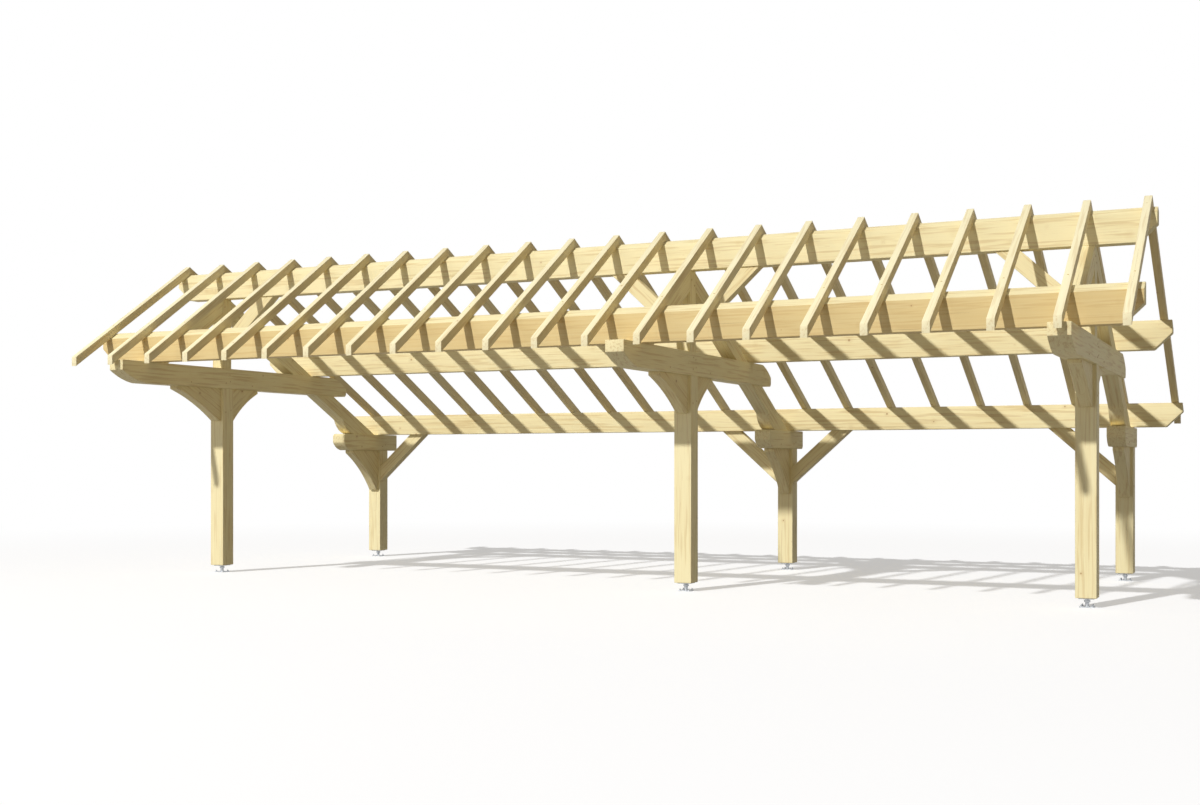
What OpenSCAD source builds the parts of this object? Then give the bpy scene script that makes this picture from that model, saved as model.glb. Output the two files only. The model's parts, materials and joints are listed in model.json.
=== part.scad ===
/* [Roof] */
// Length of the long beams, end to end
beam_length = 13000; // [10400:50:15600]
// Height of the apex where the rafter undersides meet
apex_z = 4190; // [3900:10:5000]
// Pitch of the front slope in degrees
front_pitch = 33.5; // [31:0.5:36]
// Pitch of the rear slope in degrees
rear_pitch = 27.25; // [24:0.25:29]
// Reach of the front rafter tails in front of the front post row
front_reach = 2140; // [1950:10:2400]
// Reach of the rear rafter tails behind the rear post row
rear_reach = 330; // [250:10:420]

/* [Post rows and bents] */
// Distance from the front post row to the rear post row
row_gap = 3850; // [3300:10:4500]
// Distance from a beam end to the middle of each outer bent
bent_inset = 705; // [600:5:900]
// Offset of the middle bent from the middle of the length
middle_offset = 1220; // [0:10:1800]

/* [Posts and bases] */
// Side of the square posts
post_side = 220; // [180:5:250]
// Height of the steel bases that hold the posts clear of the floor
base_height = 100; // [70:5:150]
// Side of the square floor plate of a base
floor_plate_side = 150; // [130:5:200]
// Side of the square plate under a post
post_plate_side = 160; // [120:5:170]
// Thickness of both plates of a base
plate_thickness = 10; // [6:1:14]
// Diameter of the stem of a base
stem_diameter = 42; // [30:1:60]
// Spacing of the anchor holes in both directions
anchor_spacing = 110; // [100:2:112]
// Diameter of the anchor holes
anchor_hole = 14; // [10:1:16]

/* [Bent timbers] */
// Width of the tie beams and hammer beams
tie_width = 220; // [180:5:240]
// Depth of the tie beams
tie_depth = 280; // [240:5:320]
// Reach of the tie beam nose in front of the front post row
tie_reach = 2030; // [1850:10:2120]
// Distance that the tie beams run on behind the rear purlin
tie_run_on = 680; // [530:10:880]
// Length of the cut under the nose of a tie beam
nose_length = 400; // [250:10:500]
// Height of the cut under the nose of a tie beam
nose_height = 150; // [100:10:180]
// Depth of the hammer beams
hammer_depth = 255; // [220:5:290]
// Reach of the hammer beams in front of the rear post row
hammer_inner = 1100; // [980:10:1200]
// Reach of the hammer beams behind the rear post row
hammer_outer = 380; // [300:10:480]
// Length of the cut under the nose of a hammer beam
hammer_nose_length = 190; // [120:10:240]
// Height of the cut under the nose of a hammer beam
hammer_nose_height = 120; // [80:10:150]
// Side of the square king posts
king_side = 180; // [140:5:200]
// Width of the principal rafters
principal_width = 180; // [140:5:200]
// Depth of the principal rafters, square to their slope
principal_depth = 200; // [160:5:220]

/* [Long beams] */
// Depth of the ridge beam at its middle
ridge_depth = 375; // [330:5:420]
// Width of the ridge beam
ridge_width = 180; // [140:5:200]
// Width of the front plate and the rear purlin
plate_width = 180; // [150:5:220]
// Height of the front face of the front plate
front_plate_height = 325; // [280:5:360]
// Distance from the front post row to the front face of the front plate
front_plate_reach = 1540; // [1450:10:1640]
// Width of the bevel on top of the front plate
front_bevel = 120; // [80:5:150]
// Height of the front face of the rear purlin
rear_purlin_height = 345; // [320:5:370]
// Width of the rear plate
rear_plate_width = 200; // [160:5:220]
// Height of the front face of the rear plate
rear_plate_height = 310; // [270:5:330]
// Distance from the rear post row forward to the front face of the rear plate
rear_plate_offset = 170; // [140:5:190]
// Length of the chamfer under each beam end
end_chamfer_length = 200; // [120:10:260]
// Height of the chamfer under each beam end
end_chamfer_height = 190; // [100:10:210]

/* [Rafters] */
// Number of rafter pairs
rafter_pairs = 22; // [18:1:26]
// Width of a rafter
rafter_width = 80; // [60:5:120]
// Depth of a rafter, square to its slope
rafter_depth = 100; // [90:5:150]
// Distance from a beam end to the outer face of the last rafter
rafter_inset = 55; // [20:5:120]

/* [Braces] */
// Thickness of the braces
brace_thickness = 140; // [80:5:150]
// Reach of the outer front brace along the tie beam
outer_brace_reach = 860; // [700:10:1050]
// Reach of the inner front brace along the tie beam
inner_brace_reach = 580; // [450:10:650]
// Drop of the front braces down the post
front_brace_drop = 450; // [400:10:560]
// Reach of the rear brace along the hammer beam
rear_brace_reach = 710; // [600:10:780]
// Drop of the rear brace down the post
rear_brace_drop = 640; // [540:10:760]
// Reach of the plate braces from the rear post face
plate_brace_reach = 840; // [700:10:950]
// Drop of the plate braces from the plate down the post
plate_brace_drop = 750; // [650:10:850]
// Reach of the ridge braces from the king post face
ridge_brace_reach = 860; // [700:10:950]
// Height of the foot of a ridge brace above the tie beam
ridge_brace_foot = 170; // [130:10:290]
// Width of the plate and ridge braces, square to their length
brace_width = 180; // [120:5:200]

/* [Hidden] */
$fn = 48;

timber_colour = [0.95, 0.87, 0.66];
brace_colour = [0.91, 0.82, 0.60];
steel_colour = [0.62, 0.64, 0.66];

// Slopes, and the heights of the rafter undersides along them
front_slope = tan(front_pitch);
rear_slope = tan(rear_pitch);
function roof_front(y) = apex_z + y * front_slope;
function roof_rear(y) = apex_z - y * rear_slope;
function seat_front(y) = roof_front(y) - seat_gap;
function seat_rear(y) = roof_rear(y) - seat_gap;

// Levels that follow from the roof and the beams under it
tie_top = round(roof_front(-front_plate_reach) - front_plate_height);
tie_bottom = tie_top - tie_depth;
rear_plate_front = row_gap - rear_plate_offset;
hammer_top = round(roof_rear(rear_plate_front) - rear_plate_height);
hammer_bottom = hammer_top - hammer_depth;
ridge_bottom = apex_z - ridge_depth;

// The rear purlin stands on the tie beams, where its top meets the roof
rear_purlin_front = (apex_z - rear_purlin_height - tie_top) / rear_slope;
tie_inner = rear_purlin_front + plate_width + tie_run_on;
ridge_brace_drop = ridge_bottom - tie_top - ridge_brace_foot;

// Where each bent stands along the length
left_x = bent_inset - beam_length / 2;
middle_x = middle_offset;
right_x = beam_length / 2 - bent_inset;

// Rafter spacing, and the number of pairs up to the middle bent
first_rafter = rafter_inset + rafter_width / 2 - beam_length / 2;
rafter_spacing = -2 * first_rafter / (rafter_pairs - 1);
long_bay_pairs = floor((middle_x - first_rafter) / rafter_spacing) + 1;

// Rafters pass this far above the timbers that they don't rest on
rafter_gap = 5;
// Play left under the rafters on the bevels that carry them
seat_gap = 0.05;

// The front post row is moved so that the frame's box is centred on the origin
rear_end = row_gap + max(rear_reach, hammer_outer);
row_y = (front_reach - rear_end) / 2;

// Steps along each curved edge
curve_steps = 12;
// Blunt width at the tips of the curved braces
brace_tip = 45;
// Eased corners of the tie and hammer beam ends
eased_corner = 30;
// Bow of the cut under each nose, and of the rounded inner end of a tie beam
nose_bow = 24;
inner_bow = 20;
// Drop of a curved brace divided by the hollow of its free edge
hollow_share = 12;

// Points from p to q, bowed sideways by rise at the middle
function bowed(p, q, rise) =
  let (d = q - p, side = [-d[1], d[0]] / norm(d))
  [for (i = [0:curve_steps])
    let (t = i / curve_steps)
    p + d * t + side * rise * 4 * t * (1 - t)];

// Extrudes an outline drawn in Y and Z across the width of a bent timber
module across(x, width) {
  translate([x, row_y, 0])
    rotate([90, 0, 90])
      linear_extrude(height = width, center = true)
        children();
}

// Extrudes an outline drawn in X and Z through the thickness of a piece
module along(y, thickness) {
  translate([0, row_y + y, 0])
    rotate([90, 0, 0])
      linear_extrude(height = thickness, center = true)
        children();
}

module post(x, y, top) {
  color(timber_colour)
    translate([x - post_side / 2, row_y + y - post_side / 2, base_height])
      cube([post_side, post_side, top - base_height]);
}

module square_plate(side, bottom) {
  translate([-side / 2, -side / 2, bottom])
    cube([side, side, plate_thickness]);
}

module base(x, y) {
  color(steel_colour)
    translate([x, row_y + y, 0])
      difference() {
        union() {
          square_plate(floor_plate_side, 0);
          translate([0, 0, plate_thickness / 2])
            cylinder(d = stem_diameter, h = base_height - plate_thickness);
          square_plate(post_plate_side, base_height - plate_thickness);
        }
        for (i = [-1, 1], j = [-1, 1])
          translate([i * anchor_spacing / 2, j * anchor_spacing / 2, -1])
            cylinder(d = anchor_hole, h = plate_thickness + 2);
      }
}

// The nose is cut back below and the inner end rounded above, both clear of the rafters
module tie_beam(x) {
  nose_y = -tie_reach;
  nose_top = min(tie_top, roof_front(nose_y) - rafter_gap);
  nose_shoulder = min(0, (tie_top + rafter_gap - apex_z) / front_slope);
  inner_shoulder = (apex_z - rafter_gap - tie_top) / rear_slope;
  inner_top = roof_rear(tie_inner) - rafter_gap;
  color(timber_colour)
    across(x, tie_width)
      polygon(concat(
        bowed([nose_y + nose_length, tie_bottom], [nose_y, tie_bottom + nose_height], nose_bow),
        [
          [nose_y, nose_top],
          [max(nose_y, nose_shoulder), tie_top]
        ],
        bowed(
          [inner_shoulder - tie_depth / 2, tie_top],
          [tie_inner, inner_top - tie_depth / 5],
          inner_bow
        ),
        [
          [tie_inner, tie_bottom + eased_corner],
          [tie_inner - eased_corner, tie_bottom]
        ]
      ));
}

module hammer_beam(x) {
  inner_y = row_gap - hammer_inner;
  outer_y = row_gap + hammer_outer;
  outer_top = min(hammer_top, roof_rear(outer_y) - rafter_gap);
  outer_shoulder = min(outer_y - 1, (apex_z - rafter_gap - hammer_top) / rear_slope);
  color(timber_colour)
    across(x, tie_width)
      polygon(concat(
        bowed(
          [inner_y + hammer_nose_length, hammer_bottom],
          [inner_y, hammer_bottom + hammer_nose_height],
          nose_bow
        ),
        [
          [inner_y, hammer_top - eased_corner],
          [inner_y + eased_corner, hammer_top],
          [outer_shoulder, hammer_top],
          [outer_y, outer_top],
          [outer_y, hammer_bottom + eased_corner],
          [outer_y - eased_corner, hammer_bottom]
        ]
      ));
}

module king_post(x) {
  color(timber_colour)
    translate([x - king_side / 2, row_y - king_side / 2, tie_top])
      cube([king_side, king_side, ridge_bottom - tie_top]);
}

// Runs from the king post to the tie beam, behind the front plate
module front_principal(x) {
  top = apex_z - front_plate_height;
  bottom = top - principal_depth / cos(front_pitch);
  head_y = -king_side / 2;
  toe_y = plate_width - front_plate_reach;
  heel_y = (tie_top - bottom) / front_slope;
  color(timber_colour)
    across(x, principal_width)
      polygon([
        [head_y, min(ridge_bottom, top + head_y * front_slope)],
        [head_y, bottom + head_y * front_slope],
        [heel_y, tie_top],
        [toe_y, tie_top],
        [toe_y, top + toe_y * front_slope]
      ]);
}

// Two lengths on one line: king post to tie beam, and tie beam to hammer beam
module rear_principal(x) {
  top = apex_z - rear_purlin_height;
  bottom = top - principal_depth / cos(rear_pitch);
  head_y = king_side / 2;
  foot_y = (top - hammer_top) / rear_slope;
  heel_y = row_gap - hammer_inner + tie_depth;
  under_foot = bottom - heel_y * rear_slope;
  color(timber_colour)
    across(x, principal_width) {
      polygon([
        [head_y, top - head_y * rear_slope],
        [(top - tie_top) / rear_slope, tie_top],
        [(bottom - tie_top) / rear_slope, tie_top],
        [head_y, bottom - head_y * rear_slope]
      ]);
      polygon(concat(
        [
          [(bottom - tie_bottom) / rear_slope, tie_bottom],
          [(top - tie_bottom) / rear_slope, tie_bottom],
          [min(foot_y, rear_plate_front), hammer_top]
        ],
        bowed(
          [heel_y, hammer_top],
          [heel_y - tie_depth, under_foot + tie_depth * rear_slope],
          tie_depth / 6
        )
      ));
    }
}

// Curved brace between an upright face and the underside of a beam
module curved_brace(x, face_y, beam_z, reach, drop) {
  way = sign(reach);
  tip_y = face_y + reach;
  color(brace_colour)
    across(x, brace_thickness)
      polygon(concat(
        [[face_y, beam_z], [tip_y, beam_z]],
        bowed(
          [tip_y, beam_z - brace_tip],
          [face_y + way * brace_tip, beam_z - drop],
          -way * drop / hollow_share
        ),
        [[face_y, beam_z - drop]]
      ));
}

// Straight brace between an upright and a long beam, to one side of a bent
module long_brace(x, way, y, half_upright, beam_z, reach, drop) {
  angle = atan(drop / reach);
  face_x = x + way * half_upright;
  color(brace_colour)
    along(y, brace_thickness)
      polygon([
        [face_x, beam_z - drop],
        [face_x + way * reach, beam_z],
        [face_x + way * (reach - brace_width / sin(angle)), beam_z],
        [face_x, beam_z - drop + brace_width / cos(angle)]
      ]);
}

module front_braces(x) {
  curved_brace(x, -post_side / 2, tie_bottom, -outer_brace_reach, front_brace_drop);
  curved_brace(x, post_side / 2, tie_bottom, inner_brace_reach, front_brace_drop);
}

// The brace in the bent, and those up to the rear plate on the sides named
module rear_braces(x, ways) {
  plate_mid = rear_plate_front + rear_plate_width / 2;
  curved_brace(
    x, row_gap - post_side / 2, hammer_bottom, -rear_brace_reach, rear_brace_drop
  );
  for (way = ways)
    long_brace(
      x, way, (plate_mid + row_gap) / 2, post_side / 2,
      hammer_top, plate_brace_reach, plate_brace_drop
    );
}

module ridge_braces(x, ways) {
  for (way = ways)
    long_brace(
      x, way, 0, king_side / 2, ridge_bottom, ridge_brace_reach, ridge_brace_drop
    );
}

// A beam of the full length, with its lower corners cut off at both ends
module long_beam(bottom, top) {
  half = beam_length / 2;
  color(timber_colour)
    intersection() {
      across(0, beam_length)
        children();
      along(0, 4 * row_gap)
        polygon([
          [end_chamfer_length - half, bottom],
          [half - end_chamfer_length, bottom],
          [half, bottom + end_chamfer_height],
          [half, top],
          [-half, top],
          [-half, bottom + end_chamfer_height]
        ]);
    }
}

module ridge_beam() {
  half = ridge_width / 2;
  long_beam(ridge_bottom, apex_z)
    polygon([
      [-half, ridge_bottom],
      [half, ridge_bottom],
      [half, seat_rear(half)],
      [0, apex_z - seat_gap],
      [-half, seat_front(-half)]
    ]);
}

module front_plate() {
  face_y = -front_plate_reach;
  back_y = face_y + plate_width;
  shoulder_y = face_y + front_bevel;
  long_beam(tie_top, roof_front(shoulder_y))
    polygon([
      [face_y, tie_top],
      [back_y, tie_top],
      [back_y, seat_front(shoulder_y)],
      [shoulder_y, seat_front(shoulder_y)],
      [face_y, seat_front(face_y)]
    ]);
}

// A beam under the rear slope, bevelled right across
module rear_beam(face_y, bottom, width) {
  long_beam(bottom, roof_rear(face_y))
    polygon([
      [face_y, bottom],
      [face_y + width, bottom],
      [face_y + width, seat_rear(face_y + width)],
      [face_y, seat_rear(face_y)]
    ]);
}

module rear_purlin() {
  rear_beam(rear_purlin_front, tie_top, plate_width);
}

module rear_plate() {
  rear_beam(rear_plate_front, hammer_top, rear_plate_width);
}

// Rafters are plumb cut at both ends and meet in pairs at the apex
module front_rafters(from, to) {
  rise = rafter_depth / cos(front_pitch);
  tail = -front_reach;
  color(timber_colour)
    for (i = [from:to])
      across(first_rafter + i * rafter_spacing, rafter_width)
        polygon([
          [0, apex_z],
          [0, apex_z + rise],
          [tail, roof_front(tail) + rise],
          [tail, roof_front(tail)]
        ]);
}

module rear_rafters(from, to) {
  rise = rafter_depth / cos(rear_pitch);
  tail = row_gap + rear_reach;
  color(timber_colour)
    for (i = [from:to])
      across(first_rafter + i * rafter_spacing, rafter_width)
        polygon([
          [0, apex_z],
          [tail, roof_rear(tail)],
          [tail, roof_rear(tail) + rise],
          [0, apex_z + rise]
        ]);
}

post(left_x, 0, tie_bottom);  // front_post_left
post(middle_x, 0, tie_bottom);  // front_post_middle
post(right_x, 0, tie_bottom);  // front_post_right
post(left_x, row_gap, hammer_bottom);  // rear_post_left
post(middle_x, row_gap, hammer_bottom);  // rear_post_middle
post(right_x, row_gap, hammer_bottom);  // rear_post_right
base(left_x, 0);  // front_base_left
base(middle_x, 0);  // front_base_middle
base(right_x, 0);  // front_base_right
base(left_x, row_gap);  // rear_base_left
base(middle_x, row_gap);  // rear_base_middle
base(right_x, row_gap);  // rear_base_right
tie_beam(left_x);  // tie_beam_left
tie_beam(middle_x);  // tie_beam_middle
tie_beam(right_x);  // tie_beam_right
hammer_beam(left_x);  // hammer_beam_left
hammer_beam(middle_x);  // hammer_beam_middle
hammer_beam(right_x);  // hammer_beam_right
king_post(left_x);  // king_post_left
king_post(middle_x);  // king_post_middle
king_post(right_x);  // king_post_right
front_principal(left_x);  // front_principal_left
front_principal(middle_x);  // front_principal_middle
front_principal(right_x);  // front_principal_right
rear_principal(left_x);  // rear_principal_left
rear_principal(middle_x);  // rear_principal_middle
rear_principal(right_x);  // rear_principal_right
front_braces(left_x);  // front_braces_left
front_braces(middle_x);  // front_braces_middle
front_braces(right_x);  // front_braces_right
rear_braces(left_x, [1]);  // rear_braces_left
rear_braces(middle_x, [-1, 1]);  // rear_braces_middle
rear_braces(right_x, [-1]);  // rear_braces_right
ridge_braces(left_x, [1]);  // ridge_brace_left
ridge_braces(middle_x, [-1, 1]);  // ridge_braces_middle
ridge_braces(right_x, [-1]);  // ridge_brace_right
ridge_beam();
front_plate();
rear_purlin();
rear_plate();
front_rafters(0, long_bay_pairs - 1);  // front_rafters_long_bay
front_rafters(long_bay_pairs, rafter_pairs - 1);  // front_rafters_short_bay
rear_rafters(0, long_bay_pairs - 1);  // rear_rafters_long_bay
rear_rafters(long_bay_pairs, rafter_pairs - 1);  // rear_rafters_short_bay
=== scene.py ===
import json
import math
import random

import bmesh
import bpy
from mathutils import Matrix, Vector


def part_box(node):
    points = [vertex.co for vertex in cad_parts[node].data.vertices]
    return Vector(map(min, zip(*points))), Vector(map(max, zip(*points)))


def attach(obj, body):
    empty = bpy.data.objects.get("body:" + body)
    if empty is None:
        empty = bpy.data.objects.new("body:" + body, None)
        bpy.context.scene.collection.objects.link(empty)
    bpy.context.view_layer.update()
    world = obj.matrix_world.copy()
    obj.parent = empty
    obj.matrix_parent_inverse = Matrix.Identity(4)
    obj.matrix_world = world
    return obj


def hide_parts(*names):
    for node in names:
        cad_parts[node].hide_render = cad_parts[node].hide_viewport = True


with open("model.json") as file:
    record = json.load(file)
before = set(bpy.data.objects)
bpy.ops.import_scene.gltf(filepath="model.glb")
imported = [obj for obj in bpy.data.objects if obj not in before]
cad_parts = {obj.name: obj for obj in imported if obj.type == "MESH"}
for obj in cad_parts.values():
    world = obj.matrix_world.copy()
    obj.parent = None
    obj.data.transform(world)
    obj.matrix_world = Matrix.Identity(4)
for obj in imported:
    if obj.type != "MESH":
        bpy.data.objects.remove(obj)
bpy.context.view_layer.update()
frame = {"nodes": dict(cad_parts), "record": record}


# ---- Post bases -------------------------------------------------------------
# Galvanised steel feet that hold the posts clear of the wet: a floor plate, a
# tube and a head plate, welded together and then hot dipped. Each stands on
# the floor under its post, and its zinc shows a faint spangle.

class Wire:
    """A socket in a node tree. Operators on it add Math nodes to that tree."""

    def __init__(self, tree, socket=None):
        self.tree = tree
        self.socket = socket

    def node(self, kind, settings, inputs, output=0):
        """Adds any node: its settings first, then the values or wires of its sockets."""
        made = self.tree.nodes.new(kind)
        for name, value in settings.items():
            setattr(made, name, value)
        for name, value in inputs.items():
            for item in value if isinstance(value, list) else [value]:
                if isinstance(item, Wire):
                    self.tree.links.new(item.socket, made.inputs[name])
                else:
                    made.inputs[name].default_value = item
        return Wire(self.tree, made.outputs[output])

    def sums(self, operation, first, second=0.0):
        return self.node("ShaderNodeMath", {"operation": operation}, {0: first, 1: second})

    def __add__(self, other):
        return self.sums("ADD", self, other)

    def __radd__(self, other):
        return self.sums("ADD", other, self)

    def __sub__(self, other):
        return self.sums("SUBTRACT", self, other)

    def __rsub__(self, other):
        return self.sums("SUBTRACT", other, self)

    def __mul__(self, other):
        return self.sums("MULTIPLY", self, other)

    def __rmul__(self, other):
        return self.sums("MULTIPLY", other, self)

    def __truediv__(self, other):
        return self.sums("DIVIDE", self, other)

    def __rtruediv__(self, other):
        return self.sums("DIVIDE", other, self)

    def __pow__(self, power):
        return self.sums("POWER", self, power)

    def __rpow__(self, number):
        return self.sums("POWER", number, self)

    def __abs__(self):
        return self.sums("ABSOLUTE", self)

    def whole(self):
        """The whole number below this one."""
        return self.sums("FLOOR", self)

    def fraction(self):
        """What is left of this number over the whole one below it."""
        return self.sums("FRACT", self)

    def at_least(self, other):
        """This number or the other, whichever is more."""
        return self.sums("MAXIMUM", self, other)

    def vectors(self, operation, other, output="Vector"):
        return self.node("ShaderNodeVectorMath", {"operation": operation}, {0: self, 1: other}, output)

    def stretched(self, factors):
        """A vector times three factors."""
        return self.vectors("MULTIPLY", factors)

    def moved(self, other):
        """A vector plus another."""
        return self.vectors("ADD", other)

    def apart(self, other):
        """A vector less another."""
        return self.vectors("SUBTRACT", other)

    def length(self):
        return self.vectors("LENGTH", (0, 0, 0), "Value")

    def part(self, axis):
        """A vector's X, Y or Z."""
        return self.node("ShaderNodeSeparateXYZ", {}, {0: self}, axis)

    def plain(self, colour):
        """A colour that is the same all over."""
        made = self.node("ShaderNodeRGB", {}, {})
        made.socket.default_value = (*colour, 1)
        return made

    def tinted(self, colour, amount):
        """This colour, blended towards another by an amount from 0 to 1."""
        settings = {"data_type": "RGBA", "clamp_factor": True}
        return self.node("ShaderNodeMix", settings, {0: amount, 6: self, 7: (*colour, 1)}, 2)

    def faded(self, start, end):
        """1 at start, falling smoothly to 0 at end."""
        settings = {"interpolation_type": "SMOOTHSTEP"}
        inputs = {"Value": self, "From Min": start, "From Max": end, "To Min": 1.0, "To Max": 0.0}
        return self.node("ShaderNodeMapRange", settings, inputs)

    def noise(self, detail=2.0, roughness=0.5, output="Fac"):
        """Smooth noise on this vector, with one lump to each unit of it."""
        inputs = {"Vector": self, "Scale": 1.0, "Detail": detail, "Roughness": roughness}
        return self.node("ShaderNodeTexNoise", {}, inputs, output)


def new_finish(name):
    """An empty material, the wire that its nodes start from, and its surface shader."""
    material = bpy.data.materials.new(name)
    material.use_nodes = True
    shader = material.node_tree.nodes["Principled BSDF"]
    return material, Wire(material.node_tree), shader


def surfaced(shader, colour, roughness, height, strength, relief):
    """Wires a colour, a roughness and a relief of that many metres to a surface shader."""
    shape = {"Height": height, "Strength": strength, "Distance": relief}
    bump = height.node("ShaderNodeBump", {}, shape, "Normal")
    links = colour.tree.links
    links.new(colour.socket, shader.inputs["Base Color"])
    links.new(roughness.socket, shader.inputs["Roughness"])
    links.new(bump.socket, shader.inputs["Normal"])


def galvanised_steel(name, spangle_size, bright, dull):
    """Hot dipped zinc: crystals of many greys, under a film that is dull in patches."""
    material, start, shader = new_finish(name)
    place = start.node("ShaderNodeTexCoord", {}, {}, "Object")
    crystals = {"Vector": place.stretched((1 / spangle_size,) * 3), "Scale": 1.0}
    crystal = start.node("ShaderNodeTexVoronoi", {}, crystals, "Color")
    shade = start.node("ShaderNodeSeparateColor", {}, {"Color": crystal})
    film = place.stretched((18, 18, 18)).noise(3.0, 0.6)
    grit = place.stretched((900, 900, 900)).noise(2.0, 0.6)
    colour = start.plain(bright).tinted(dull, 0.45 * shade + 0.55 * film)
    roughness = 0.34 + 0.2 * film + 0.1 * shade
    surfaced(shader, colour, roughness, grit, 0.25, 0.0004)
    shader.inputs["Metallic"].default_value = 0.85
    return material


def merged(node):
    """A CAD node's solids with shared corners and whole flat faces."""
    same_corner = 0.00002
    flat = math.radians(0.4)
    shape = bmesh.new()
    shape.from_mesh(frame["nodes"][node].data)
    bmesh.ops.remove_doubles(shape, verts=shape.verts, dist=same_corner)
    bmesh.ops.dissolve_limit(shape, angle_limit=flat, verts=shape.verts, edges=shape.edges)
    return shape


def eased(shape, width):
    """Takes the sharpness off the outer corners of a shape."""
    sharp = math.radians(28)
    corners = []
    for edge in shape.edges:
        if len(edge.link_faces) == 2 and edge.is_convex and edge.calc_face_angle(0.0) > sharp:
            corners.append(edge)
    bmesh.ops.bevel(
        shape, geom=corners, offset=width, offset_type="OFFSET", segments=2,
        profile=0.5, affect="EDGES", clamp_overlap=True,
    )


def finished(piece, finish, node=None, crease=22):
    """Shades a piece, gives it its finish, and sets it on the frame in place of its CAD node."""
    piece.data.materials.clear()
    piece.data.materials.append(finish)
    piece.data.shade_smooth()
    piece.data.set_sharp_from_angle(angle=math.radians(crease))
    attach(piece, "root")
    if node:
        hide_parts(node)


def placed(name, mesh):
    piece = bpy.data.objects.new(name, mesh)
    bpy.context.scene.collection.objects.link(piece)
    return piece


zinc = galvanised_steel("galvanised_base_steel", 0.011, (0.62, 0.64, 0.66), (0.40, 0.42, 0.45))
plate_ease = 0.0016
bents = ("left", "middle", "right")
base_feet = []
for row in ("front", "rear"):
    for bent in bents:
        node = f"{row}_base_{bent}"
        shape = merged(node)
        eased(shape, plate_ease)
        mesh = bpy.data.meshes.new(node)
        shape.to_mesh(mesh)
        shape.free()
        finished(placed(f"{node}_steel", mesh), zinc, node)
        base_low, base_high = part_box(node)
        middle = (base_low + base_high) / 2
        base_feet.append(Vector((middle.x, middle.y, base_low.z)))
base_height = base_high.z


# ---- Base fixings -----------------------------------------------------------
# Each floor plate is held down by four anchor bolts set in the pad, with a
# washer and a nut on each. A collar nut round the tube sets the height, and
# a bead of weld runs round the tube at both plates.

up = Vector((0, 0, 1))
plate_thickness = 0.010
tube_radius = 0.021


def sized_inputs(tree, sizes):
    """Adds a named number input to a tree for each size, and returns their identifiers."""
    found = {}
    for label, value in sizes.items():
        kind = "NodeSocketInt" if isinstance(value, int) else "NodeSocketFloat"
        found[label] = tree.interface.new_socket(label, in_out="INPUT", socket_type=kind).identifier
    return found


def grown(name, places, sizes, build, finish):
    """Runs a geometry tree on points that face a way, and returns its result as a plain mesh."""
    points = bpy.data.meshes.new(name)
    points.from_pydata([point for point, way in places], [], [])
    ways = points.attributes.new("facing", "FLOAT_VECTOR", "POINT")
    ways.data.foreach_set("vector", [number for point, way in places for number in way])
    piece = placed(name, points)
    tree = bpy.data.node_groups.new(f"{name}_tree", "GeometryNodeTree")
    tree.interface.new_socket("Places", in_out="INPUT", socket_type="NodeSocketGeometry")
    tree.interface.new_socket("Result", in_out="OUTPUT", socket_type="NodeSocketGeometry")
    identifiers = sized_inputs(tree, sizes)
    entry = tree.nodes.new("NodeGroupInput")
    start = Wire(tree)
    wires = {label: Wire(tree, entry.outputs[label]) for label in sizes}
    instances = build(start, Wire(tree, entry.outputs["Places"]), wires)
    real = start.node("GeometryNodeRealizeInstances", {}, {0: instances})
    coated = start.node("GeometryNodeSetMaterial", {}, {"Geometry": real, "Material": finish})
    leave = tree.nodes.new("NodeGroupOutput")
    tree.links.new(coated.socket, leave.inputs[0])
    modifier = piece.modifiers.new("Growth", "NODES")
    modifier.node_group = tree
    for label, identifier in identifiers.items():
        modifier[identifier] = sizes[label]
    ready = piece.evaluated_get(bpy.context.evaluated_depsgraph_get())
    mesh = bpy.data.meshes.new_from_object(ready)
    piece.modifiers.remove(modifier)
    piece.data = mesh
    return piece


def stacks(name, places, tiers, finish, seed):
    """Sets a stack of tiers at each place, turned at random, as one piece.

    Each tier is its label, its number of sides, its radius at the foot and at the head,
    and its height.
    """
    sizes = {"Seed": seed}
    for label, sides, foot, head, height in tiers:
        sizes[f"{label} foot"] = foot
        sizes[f"{label} head"] = head
        sizes[f"{label} height"] = height

    def build(start, points, wires):
        level = 0.0
        parts = []
        for label, sides, *measures in tiers:
            cone = {
                "Vertices": sides, "Radius Top": wires[f"{label} head"],
                "Radius Bottom": wires[f"{label} foot"], "Depth": wires[f"{label} height"],
            }
            tier = start.node("GeometryNodeMeshCone", {}, cone, "Mesh")
            lift = start.node("ShaderNodeCombineXYZ", {}, {"Z": level})
            parts.append(start.node("GeometryNodeTransform", {}, {"Geometry": tier, "Translation": lift}))
            level = wires[f"{label} height"] + level
        stack = start.node("GeometryNodeJoinGeometry", {}, {0: parts})
        named = {"data_type": "FLOAT_VECTOR"}
        way = start.node("GeometryNodeInputNamedAttribute", named, {"Name": "facing"})
        stand = start.node("FunctionNodeAlignRotationToVector", {"axis": "Z"}, {"Vector": way})
        turn = {"Min": (0.0, 0.0, -math.pi), "Max": (0.0, 0.0, math.pi), "Seed": wires["Seed"]}
        spin = start.node("FunctionNodeRandomValue", {"data_type": "FLOAT_VECTOR"}, turn)
        turned = {"Rotation": stand, "Rotate By": spin}
        facing = start.node("FunctionNodeRotateRotation", {"rotation_space": "LOCAL"}, turned)
        placing = {"Points": points, "Instance": stack, "Rotation": facing}
        return start.node("GeometryNodeInstanceOnPoints", {}, placing)

    finished(grown(name, places, sizes, build, finish), finish)


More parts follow.
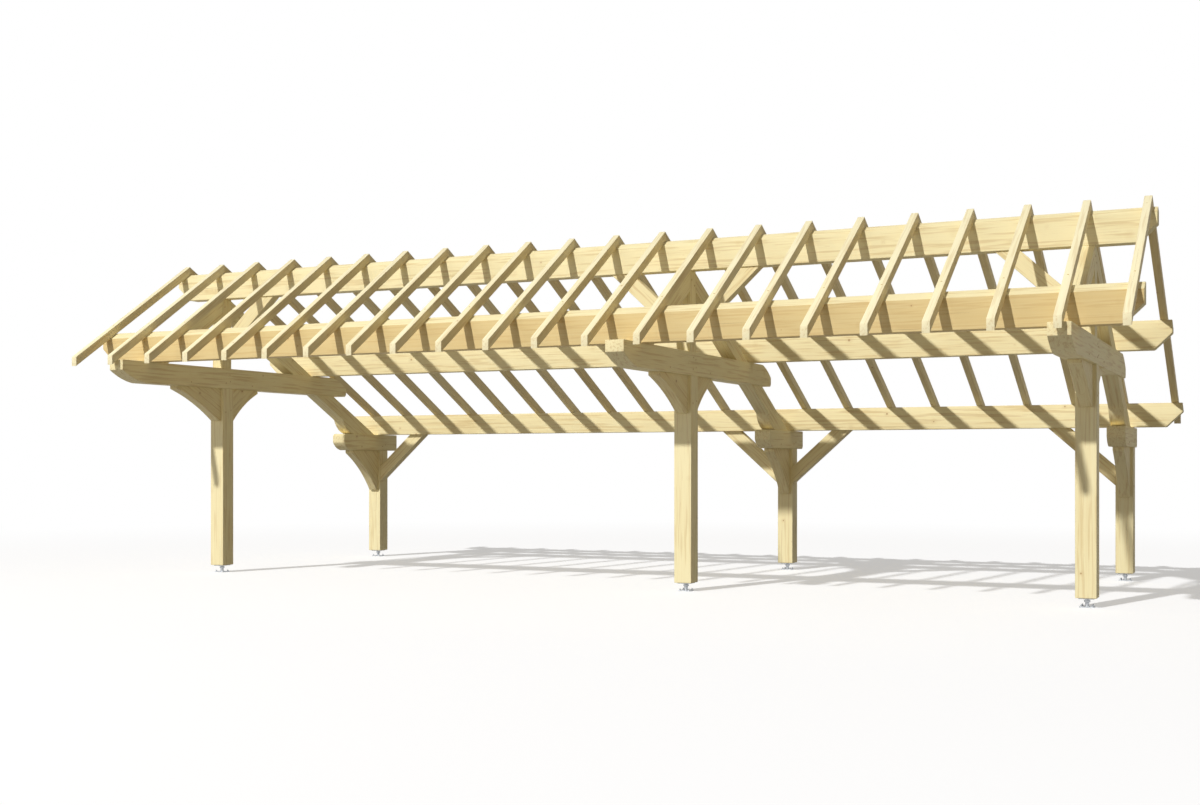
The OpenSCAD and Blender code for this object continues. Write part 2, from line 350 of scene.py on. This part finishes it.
anchor_reach = frame["record"]["mounts"][0]["dims"]["spacing_x_mm"] / 2000
anchors = []
for foot in base_feet:
    for across in (-anchor_reach, anchor_reach):
        for along in (-anchor_reach, anchor_reach):
            anchors.append((foot + Vector((across, along, plate_thickness)), up))
anchor_tiers = [
    ("Washer", 28, 0.0150, 0.0145, 0.0025),
    ("Nut", 6, 0.0110, 0.0110, 0.0085),
    ("Nut crown", 6, 0.0110, 0.0095, 0.0015),
    ("Bolt", 20, 0.0060, 0.0060, 0.0090),
    ("Bolt end", 20, 0.0060, 0.0048, 0.0012),
]
stacks("anchor_bolts", anchors, anchor_tiers, zinc, 11)

collar_height = 0.024
collar_gap = 0.012
collar_rise = base_height - plate_thickness - collar_height - collar_gap
collars = [(foot + up * collar_rise, up) for foot in base_feet]
collar_tiers = [
    ("Lower crown", 6, 0.0300, 0.0330, 0.0020),
    ("Collar", 6, 0.0330, 0.0330, 0.0200),
    ("Upper crown", 6, 0.0330, 0.0300, 0.0020),
]
stacks("base_collar_nuts", collars, collar_tiers, zinc, 23)


def weld_build(start, points, wires):
    """Rings of overlapping beads, one ring at each place."""
    circle = {"Vertices": wires["Beads"], "Radius": wires["Ring radius"]}
    ring = start.node("GeometryNodeMeshCircle", {}, circle)
    rings = start.node("GeometryNodeInstanceOnPoints", {}, {"Points": points, "Instance": ring})
    spots = start.node("GeometryNodeRealizeInstances", {}, {0: rings})
    ball = {"Radius": wires["Bead radius"], "Segments": 8, "Rings": 5}
    bead = start.node("GeometryNodeMeshUVSphere", {}, ball, "Mesh")
    size = {"Min": (0.85, 0.85, 0.7), "Max": (1.1, 1.1, 0.95), "Seed": wires["Seed"]}
    shape = start.node("FunctionNodeRandomValue", {"data_type": "FLOAT_VECTOR"}, size)
    placing = {"Points": spots, "Instance": bead, "Scale": shape}
    return start.node("GeometryNodeInstanceOnPoints", {}, placing)


welds = []
for foot in base_feet:
    welds.append((foot + up * plate_thickness, up))
    welds.append((foot + up * (base_height - plate_thickness), up))
weld_sizes = {"Beads": 30, "Ring radius": tube_radius + 0.001, "Bead radius": 0.0042, "Seed": 5}
finished(grown("base_welds", welds, weld_sizes, weld_build, zinc), zinc, crease=60)


# ---- Posts ------------------------------------------------------------------
# Six square posts of planed pine, each sawn with the heart of the log inside
# it. Their corners are eased with a plane, and their feet stand on the head
# plates, so rings show on the cut below.

def pine(name, pale, warm, rings, knots, knot_size, figure):
    """Planed pine, drawn on each timber's own measures along and across its grain.

    It has so many growth rings to a metre, knots that far apart along and across it, and
    streaks and rings as strong as its figure says.
    """
    material, start, shader = new_finish(name)
    grain = start.node("ShaderNodeAttribute", {"attribute_name": "grain"}, {}, "Vector")
    # The tone varies at random from timber to timber, and also carries painted light that makes tops paler
    # than sides
    tone_and_painted_light = start.node("ShaderNodeAttribute", {"attribute_name": "tone_and_painted_light"}, {}, "Fac")
    cut = start.node("ShaderNodeAttribute", {"attribute_name": "cut_end"}, {}, "Fac")

    # Knots lie at scattered points, and the rings swell round them
    cells = {"Vector": grain.stretched(tuple(1 / side for side in knots)), "Scale": 1.0}
    nearest = start.node("ShaderNodeTexVoronoi", {}, cells, "Position")
    chance = start.node("ShaderNodeTexVoronoi", {}, cells, "Color")
    size = knot_size * start.node("ShaderNodeSeparateColor", {}, {"Color": chance}) + 0.002
    ratio = cells["Vector"].apart(nearest).stretched(knots).length() / size
    knot = ratio.faded(0.75, 1.15)
    rim = knot * ratio.faded(1.2, 0.65)
    swell = ratio.faded(0.6, 4.5)

    # Growth rings about a heart that wanders a little, each of its own strength
    drift = grain.stretched((0.55, 2.4, 2.4)).noise(2.0, 0.5, "Color").apart((0.5, 0.5, 0.5))
    heart = grain.moved(drift.stretched((0.0, 0.075, 0.075)))
    years = (heart.stretched((0.0, 1.0, 1.0)).length() + swell * 0.006) * rings
    chances = {"W": years.whole()}
    weather = start.node("ShaderNodeTexWhiteNoise", {"noise_dimensions": "1D"}, chances, "Value")
    season = years.fraction()
    late = (season ** 2.2) * season.faded(0.99, 0.90) * (0.35 + weather * 0.65)

    # Fibres, darker streaks of resin and broad stains, all drawn out along the grain
    fibre = grain.stretched((3.2, 130, 130)).noise(3.0, 0.65)
    streak = grain.stretched((1.0, 46, 46)).noise(3.0, 0.60)
    resin = 1 - grain.stretched((1.7, 38, 38)).moved((3.1, 8.2, 5.7)).noise(2.0, 0.5).faded(0.50, 0.66)
    stain = grain.stretched((0.8, 3.3, 3.3)).noise(2.0, 0.5)

    # Drying checks run along the grain in lanes, one here and there, and close at their ends
    lanes = 7.0
    wander = grain.stretched((1.4, 0.0, 0.0)).noise(3.0, 0.6)
    lane = (grain.part("Y") + grain.part("Z")) * lanes + wander * 0.30
    seam = abs(lane.fraction() - 0.5) / lanes
    run = start.node("ShaderNodeCombineXYZ", {}, {0: grain.part("X") * 1.1, 1: lane.whole() * 3.7})
    opening = (run.noise(1.0, 0.4) - 0.60).at_least(0.0)
    check = seam.faded(opening * 0.004, opening * 0.012 + 0.0001) * (1 - opening.faded(0.0, 0.02))

    # Each mark tints the plain wood by its own strength, the broad ones first. The tone among them also
    # holds painted light on tops
    ripe, late_wood, resin_brown = (0.70, 0.53, 0.24), (0.60, 0.40, 0.15), (0.62, 0.43, 0.18)
    end_grain, round_knot, knot_brown = (0.56, 0.40, 0.19), (0.60, 0.40, 0.17), (0.44, 0.25, 0.10)
    bark, deep = (0.22, 0.12, 0.05), (0.20, 0.12, 0.06)
    broad = (streak - 0.45) * 1.45 * figure + (stain - 0.5) * 0.7 + tone_and_painted_light * 0.40
    colour = start.plain(pale).tinted(warm, broad)
    colour = colour.tinted(ripe, tone_and_painted_light * 0.5 - 0.15)
    colour = colour.tinted(late_wood, late * 0.27 * figure + (fibre - 0.5) * 0.24)
    colour = colour.tinted(resin_brown, resin * 0.42 * figure)
    colour = colour.tinted(end_grain, cut * (0.06 + late * 0.35))
    colour = colour.tinted(round_knot, swell * 0.20)
    colour = colour.tinted(knot_brown, knot * 0.72)
    colour = colour.tinted(bark, rim * 0.40)
    colour = colour.tinted(deep, check * 0.8)

    roughness = 0.56 + 0.16 * fibre + 0.12 * cut - 0.14 * knot
    height = fibre * 0.35 + late * 0.25 + knot * 0.3 - check * 1.4
    surfaced(shader, colour, roughness, height, 0.30, 0.0012)
    shader.inputs["Specular IOR Level"].default_value = 0.30
    return material


def separate(shape):
    """The corners of each solid in a shape, solid by solid."""
    shape.verts.index_update()
    shape.verts.ensure_lookup_table()
    seen = set()
    groups = []
    for first in shape.verts:
        if first.index in seen:
            continue
        seen.add(first.index)
        group = [first]
        for vertex in group:
            for edge in vertex.link_edges:
                other = edge.other_vert(vertex)
                if other.index not in seen:
                    seen.add(other.index)
                    group.append(other)
        groups.append(sorted(group, key=lambda vertex: vertex.index))
    return groups


def grain_way(group, chord):
    """The way a timber's grain runs: along its longest edge, or from tip to tip of a curved brace."""
    straight_corners = 12
    if chord and len(group) > straight_corners:
        ends = max(
            ((one.co - two.co).length, one.index, two.index, one.co - two.co)
            for one in group for two in group if one.index < two.index
        )
        way = Vector((0, ends[3].y, ends[3].z))
    else:
        edges = [edge for vertex in group for edge in vertex.link_edges]
        longest = max(edges, key=lambda edge: round(edge.calc_length(), 4))
        way = longest.verts[1].co - longest.verts[0].co
    way.normalize()
    return -way if max(way, key=abs) < 0 else way


def sawn(node, ease, finish, heart, draw, depth=0.0, painted_top_light_and_paler_ends=0.0, chord=False):
    """Worked timber for a CAD node: eased corners, and the measures that its grain needs.

    The log's heart is drawn within that far of each timber's middle. A depth makes the
    timber darker, and the painted top light makes tops paler again as painted light, and cut ends paler
    too.
    """
    corners, faces, grain, tones_and_painted_light, cuts = [], [], [], [], []
    whole = merged(node)
    for group in separate(whole):
        solid = bmesh.new()
        copies = {vertex: solid.verts.new(vertex.co) for vertex in group}
        walls = {face.index: face for vertex in group for face in vertex.link_faces}
        for index in sorted(walls):
            solid.faces.new([copies[vertex] for vertex in walls[index].verts])
        along = grain_way(group, chord)
        side = Vector((1, 0, 0)) if abs(along.x) < 0.9 else Vector((0, 1, 0))
        across = (side - along * side.dot(along)).normalized()
        ways = (along, across, along.cross(across))
        middles = []
        for way in ways:
            reach = [vertex.co.dot(way) for vertex in group]
            middles.append((min(reach) + max(reach)) / 2)
        shift = (draw.uniform(0, 90), draw.uniform(-heart, heart), draw.uniform(-heart, heart))
        tone_and_painted_light = depth + draw.uniform(-0.3, 0.3)
        solid.normal_update()
        eased(solid, ease)
        solid.normal_update()
        solid.verts.index_update()
        first = len(corners)
        for vertex in solid.verts:
            corners.append(vertex.co.copy())
            for way, middle, move in zip(ways, middles, shift):
                grain.append(vertex.co.dot(way) - middle + move)
        for face in solid.faces:
            faces.append([first + vertex.index for vertex in face.verts])
            cut = min(1.0, max(0.0, (abs(face.normal.dot(along)) - 0.25) / 0.5))
            cuts.append(cut)
            # Tops are painted paler here as painted light, and cut ends are made paler too
            tones_and_painted_light.append(tone_and_painted_light - painted_top_light_and_paler_ends if face.normal.z > 0.5 or cut > 0.5 else tone_and_painted_light)
        solid.free()
    whole.free()
    name = f"{node}_wood"
    mesh = bpy.data.meshes.new(name)
    mesh.from_pydata(corners, [], faces)
    mesh.attributes.new("grain", "FLOAT_VECTOR", "POINT").data.foreach_set("vector", grain)
    mesh.attributes.new("tone_and_painted_light", "FLOAT", "FACE").data.foreach_set("value", tones_and_painted_light)
    mesh.attributes.new("cut_end", "FLOAT", "FACE").data.foreach_set("value", cuts)
    finished(placed(name, mesh), finish, node)


post_pine = pine(
    "planed_post_pine", (0.95, 0.86, 0.54), (0.84, 0.68, 0.35),
    rings=125.0, knots=(0.62, 0.15, 0.15), knot_size=0.013, figure=0.75,
)
post_ease = 0.008
post_heart = 0.03
post_draw = random.Random(41)
for row in ("front", "rear"):
    for bent in bents:
        sawn(f"{row}_post_{bent}", post_ease, post_pine, post_heart, post_draw)


# ---- Tie beams --------------------------------------------------------------
# A heavy tie on each front post carries the front plate on its nose, the king
# post over the middle and the rear purlin near its inner end. The nose is cut
# back in a long curve below, and the inner end is rounded off above.

beam_pine = pine(
    "planed_beam_pine", (0.94, 0.845, 0.52), (0.81, 0.64, 0.32),
    rings=120.0, knots=(0.60, 0.16, 0.16), knot_size=0.015, figure=1.0,
)
beam_ease = 0.009
beam_heart = 0.035
beam_draw = random.Random(52)
for bent in bents:
    sawn(f"tie_beam_{bent}", beam_ease, beam_pine, beam_heart, beam_draw)


# ---- Hammer beams -----------------------------------------------------------
# A short beam lies across each rear post, carries the rear plate, and takes
# the foot of the rear principal rafter on its inner end. It is of the same
# stuff as the tie beams.

for bent in bents:
    sawn(f"hammer_beam_{bent}", beam_ease, beam_pine, beam_heart, beam_draw)


# ---- King posts -------------------------------------------------------------
# A square post stands on each tie beam, right above the front post, and holds
# up the ridge beam.

king_ease = 0.006
for bent in bents:
    sawn(f"king_post_{bent}", king_ease, post_pine, post_heart, post_draw)


# ---- Principal rafters ------------------------------------------------------
# Sloping timbers under both roof slopes tie the king post to the tie beam, and
# the tie beam to the hammer beam behind, where the foot is arched.

principal_ease = 0.006
principal_heart = 0.05
principal_draw = random.Random(63)
for bent in bents:
    for slope in ("front", "rear"):
        node = f"{slope}_principal_{bent}"
        sawn(node, principal_ease, beam_pine, principal_heart, principal_draw)


# ---- Curved and plate braces ------------------------------------------------
# Braces cut from wide planks stiffen each bent. Their lower edges are sawn to
# a slight hollow, and straight ones run from the rear posts to the rear plate.

brace_pine = pine(
    "planed_brace_pine", (0.92, 0.815, 0.49), (0.78, 0.60, 0.29),
    rings=95.0, knots=(0.50, 0.15, 0.15), knot_size=0.015, figure=1.0,
)
brace_ease = 0.006
plank_heart = 0.06
brace_draw = random.Random(74)
for bent in bents:
    for row in ("front", "rear"):
        node = f"{row}_braces_{bent}"
        sawn(node, brace_ease, brace_pine, plank_heart, brace_draw, chord=True)


# ---- Ridge braces -----------------------------------------------------------
# Straight braces run from the king posts up to the ridge beam, one towards
# each bay.

ridge_brace_heart = 0.05
for node in ("ridge_brace_left", "ridge_braces_middle", "ridge_brace_right"):
    sawn(node, brace_ease, brace_pine, ridge_brace_heart, brace_draw)


# ---- Long beams -------------------------------------------------------------
# The front plate, ridge beam, rear purlin and rear plate run the full length.
# Their tops are planed to the roof's slope and painted paler there, as painted
# light, and their ends are cut back below and made paler too.

long_ease = 0.007
long_heart = 0.03
beam_top_painted_light = 0.8
# Painted light: the tops of the long beams are painted this much paler than their faces
for node, depth in (("front_plate", 1.5), ("rear_plate", 0.3), ("rear_purlin", 0.4), ("ridge_beam", -0.3)):
    sawn(node, long_ease, beam_pine, long_heart, beam_draw, depth, painted_top_light_and_paler_ends=depth + beam_top_painted_light)


# ---- Common rafters ---------------------------------------------------------
# Twenty-two pairs of slim rafters meet at the apex with plumb cuts and rest on
# the bevels of the long beams. They are sawn from the side of the log and planed
# on top. Their sides are painted darker than their tops, as painted shade.

rafter_pine = pine(
    "planed_rafter_pine", (0.97, 0.90, 0.62), (0.88, 0.75, 0.43),
    rings=135.0, knots=(0.70, 0.12, 0.12), knot_size=0.010, figure=0.75,
)
rafter_ease = 0.004
rafter_heart = 0.11
# Painted shade: each rafter's sides are painted this much darker than its top and cut ends
rafter_side_painted_shade = 1.0
rafter_draw = random.Random(96)
for slope in ("front", "rear"):
    for bay in ("long_bay", "short_bay"):
        node = f"{slope}_rafters_{bay}"
        sawn(node, rafter_ease, rafter_pine, rafter_heart, rafter_draw, rafter_side_painted_shade, painted_top_light_and_paler_ends=rafter_side_painted_shade)


# ---- Oak pegs ---------------------------------------------------------------
# Riven oak pegs lock the tenons of posts, braces, king posts and principals.
# Each is driven through and cut off a little proud on both sides of its bent.

def peg_oak(name):
    """Oak across its grain: open pores, and patches of a darker brown."""
    material, start, shader = new_finish(name)
    place = start.node("ShaderNodeTexCoord", {}, {}, "Object")
    pores = place.stretched((420, 420, 420)).noise(3.0, 0.7)
    patch = place.stretched((9, 9, 9)).noise(1.0, 0.5)
    brown = (0.58, 0.42, 0.21)
    colour = start.plain((0.80, 0.66, 0.38)).tinted(brown, (pores - 0.42) * 2.2 + (patch - 0.5) * 0.8)
    surfaced(shader, colour, 0.6 + 0.2 * pores, pores, 0.4, 0.0008)
    return material


def through_bent(node, spots):
    """Pegs on both faces of a bent's timber, at (y, z) spots."""
    low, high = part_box(node)
    found = []
    for y, z in spots:
        found.append((Vector((high.x, y, z)), Vector((1, 0, 0))))
        found.append((Vector((low.x, y, z)), Vector((-1, 0, 0))))
    return found


post_pair = 0.045
king_pair = 0.035
step = 0.025
brace_peg_rise = 0.06
shoulder = 0.055
pegs = []
for bent in bents:
    tie = f"tie_beam_{bent}"
    post = f"front_post_{bent}"
    king = f"king_post_{bent}"
    hammer = f"hammer_beam_{bent}"
    rear_post = f"rear_post_{bent}"
    tie_low, tie_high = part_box(tie)
    post_low, post_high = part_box(post)
    king_low, king_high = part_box(king)
    hammer_low, hammer_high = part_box(hammer)
    rear_low, rear_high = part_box(rear_post)
    brace_low, brace_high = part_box(f"front_braces_{bent}")
    rear_brace_low, rear_brace_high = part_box(f"rear_braces_{bent}")
    principal_low, principal_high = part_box(f"front_principal_{bent}")
    post_y = (post_low.y + post_high.y) / 2
    king_y = (king_low.y + king_high.y) / 2
    rear_y = (rear_low.y + rear_high.y) / 2

    # The front post's tenon and the king post's, in the tie beam
    row_z = tie_low.z + 0.075
    pegs += through_bent(tie, [(post_y - post_pair, row_z), (post_y + post_pair, row_z + step)])
    row_z = tie_high.z - 0.065
    pegs += through_bent(tie, [(king_y - king_pair, row_z), (king_y + king_pair, row_z - step)])

    # Both ends of the curved braces at the front post
    row_z = tie_low.z + brace_peg_rise
    pegs += through_bent(tie, [(brace_low.y + 0.22, row_z), (brace_high.y - 0.17, row_z)])
    outer = (post_low.y + shoulder, brace_low.z + 0.12)
    inner = (post_high.y - shoulder, brace_low.z + 0.15)
    pegs += through_bent(post, [outer, inner])

    # The rear post's tenon and its brace, in the hammer beam and in the post
    row_z = hammer_low.z + 0.07
    pegs += through_bent(hammer, [(rear_y - post_pair, row_z), (rear_y + post_pair, row_z + step)])
    pegs += through_bent(hammer, [(rear_brace_low.y + 0.2, hammer_low.z + brace_peg_rise)])
    pegs += through_bent(rear_post, [(rear_low.y + shoulder, rear_brace_low.z + 0.14)])

    # Both principals, in the king post
    pegs += through_bent(king, [(king_low.y + 0.045, principal_high.z - 0.10)])
    pegs += through_bent(king, [(king_high.y - 0.045, principal_high.z - 0.16)])
peg_tiers = [
    ("Peg", 12, 0.0115, 0.0112, 0.0035),
    ("Peg end", 12, 0.0112, 0.0088, 0.0015),
]
stacks("oak_pegs", pegs, peg_tiers, peg_oak("riven_peg_oak"), 37)


# ---- Rafter screws ----------------------------------------------------------
# A washer-head screw of yellow zinc holds each rafter down to every long beam
# that it crosses, driven square to the slope through its top.

end_corners = 4
screws = []
for slope, beams in (("front", ["front_plate"]), ("rear", ["rear_purlin", "rear_plate"])):
    for bay in ("long_bay", "short_bay"):
        shape = merged(f"{slope}_rafters_{bay}")
        for group in separate(shape):
            spots = sorted((vertex.co.copy() for vertex in group), key=lambda spot: spot.z)
            middle_x = sum(spot.x for spot in spots) / len(spots)
            eave = max(spots[:end_corners], key=lambda spot: spot.z)
            apex = max(spots, key=lambda spot: spot.z)
            slant = apex - eave
            slant.x = 0
            normal = Vector((0, -slant.z, slant.y)) if slant.y > 0 else Vector((0, slant.z, -slant.y))
            normal.normalize()
            for beam in beams:
                beam_low, beam_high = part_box(beam)
                share = ((beam_low.y + beam_high.y) / 2 - eave.y) / slant.y
                top = eave + slant * share
                screws.append((Vector((middle_x, top.y, top.z)), normal))
        shape.free()
screw_tiers = [
    ("Flange", 20, 0.0110, 0.0100, 0.0016),
    ("Head", 16, 0.0070, 0.0060, 0.0022),
]
screw_zinc = galvanised_steel("yellow_screw_zinc", 0.004, (0.78, 0.64, 0.34), (0.60, 0.48, 0.26))
stacks("rafter_screws", screws, screw_tiers, screw_zinc, 49)


# ---- Floor ------------------------------------------------------------------
# A plain pale floor, which isn't part of the frame. It takes the frame's
# shadow, and fades to white further out.

def looked_at(start):
    """1 where a ray comes from the camera, a reflection or a clear surface, and 0 elsewhere."""
    camera, glossy, passed = (
        start.node("ShaderNodeLightPath", {}, {}, f"Is {kind} Ray")
        for kind in ("Camera", "Glossy", "Transmission")
    )
    return camera.at_least(glossy.at_least(passed))


floor_mesh = bpy.data.meshes.new("floor")
floor_reach = 90.0
floor_z = -0.0006
floor_corners = []
for x, y in ((-1, -1), (1, -1), (1, 1), (-1, 1)):
    floor_corners.append((x * floor_reach, y * floor_reach, floor_z))
floor_mesh.from_pydata(floor_corners, [], [(0, 1, 2, 3)])
floor = placed("floor", floor_mesh)
floor_finish, start, shader = new_finish("pale_floor")
tree = floor_finish.node_tree
tree.nodes.remove(shader)
place = start.node("ShaderNodeTexCoord", {}, {}, "Object")
near = place.length().faded(9.0, 21.0)
lit = start.node("ShaderNodeBsdfDiffuse", {}, {"Color": (0.81, 0.825, 0.865, 1)}, "BSDF")
glow = start.node("ShaderNodeEmission", {}, {"Color": (1, 1, 1, 1), "Strength": 0.37}, "Emission")
pale = start.node("ShaderNodeAddShader", {}, {0: lit, 1: glow})
white = start.node("ShaderNodeEmission", {}, {"Color": (1, 1, 1, 1), "Strength": 1.0}, "Emission")
shown = start.node("ShaderNodeMixShader", {}, {0: near, 1: white, 2: pale})
dim = start.node("ShaderNodeBsdfDiffuse", {}, {"Color": (0.335, 0.32, 0.30, 1)}, "BSDF")
surface = start.node("ShaderNodeMixShader", {}, {0: looked_at(start), 1: dim, 2: shown})
tree.links.new(surface.socket, tree.nodes["Material Output"].inputs["Surface"])
floor_mesh.materials.append(floor_finish)


# ---- Light ------------------------------------------------------------------
# A plain warm sky all round, a low key from in front and a little to the left,
# and a broad soft panel at the front left. What the camera sees behind the
# frame is plain white.

world = bpy.data.worlds.new("plain_sky")
bpy.context.scene.world = world
world.use_nodes = True
tree = world.node_tree
tree.nodes.remove(tree.nodes["Background"])
start = Wire(tree)
sky = start.node("ShaderNodeBackground", {}, {"Color": (1, 0.93, 0.82, 1), "Strength": 0.21})
backdrop = start.node("ShaderNodeBackground", {}, {"Color": (1, 1, 1, 1), "Strength": 1.0})
both = start.node("ShaderNodeMixShader", {}, {0: looked_at(start), 1: sky, 2: backdrop})
tree.links.new(both.socket, tree.nodes["World Output"].inputs["Surface"])

key_travel = Vector((0.30, 1.0, -0.78))
key = bpy.data.lights.new("key", "SUN")
key.energy = 2.64
key.color = (1.0, 0.985, 0.95)
key.angle = math.radians(1.6)
key_lamp = bpy.data.objects.new("key", key)
key_lamp.rotation_euler = key_travel.to_track_quat("-Z", "Y").to_euler()
bpy.context.scene.collection.objects.link(key_lamp)

panel_aim = Vector((0, 0, 2))
panel = bpy.data.lights.new("panel", "AREA")
panel.shape = "RECTANGLE"
panel.size = 16.0
panel.size_y = 6.0
panel.energy = 600.0
panel.color = (1.0, 0.99, 0.97)
panel_lamp = bpy.data.objects.new("panel", panel)
panel_lamp.location = (-9.0, -20.0, 5.0)
panel_lamp.rotation_euler = (panel_aim - panel_lamp.location).to_track_quat("-Z", "Y").to_euler()
bpy.context.scene.collection.objects.link(panel_lamp)


# ---- Camera -----------------------------------------------------------------
# Held level at the height of an eye, off the right front corner and turned
# towards the middle, with a small rise of the lens.

camera = bpy.data.cameras.new("camera")
camera.sensor_width = 36.0
camera.lens = 43.54
camera.shift_y = 0.0505
camera.clip_end = 400.0
eye = bpy.data.objects.new("camera", camera)
eye.location = (7.768, -17.126, 1.525)
eye.rotation_euler = (math.radians(90), 0, math.radians(25.55))
bpy.context.scene.collection.objects.link(eye)
bpy.context.scene.camera = eye
bpy.context.scene.view_settings.view_transform = "Standard"
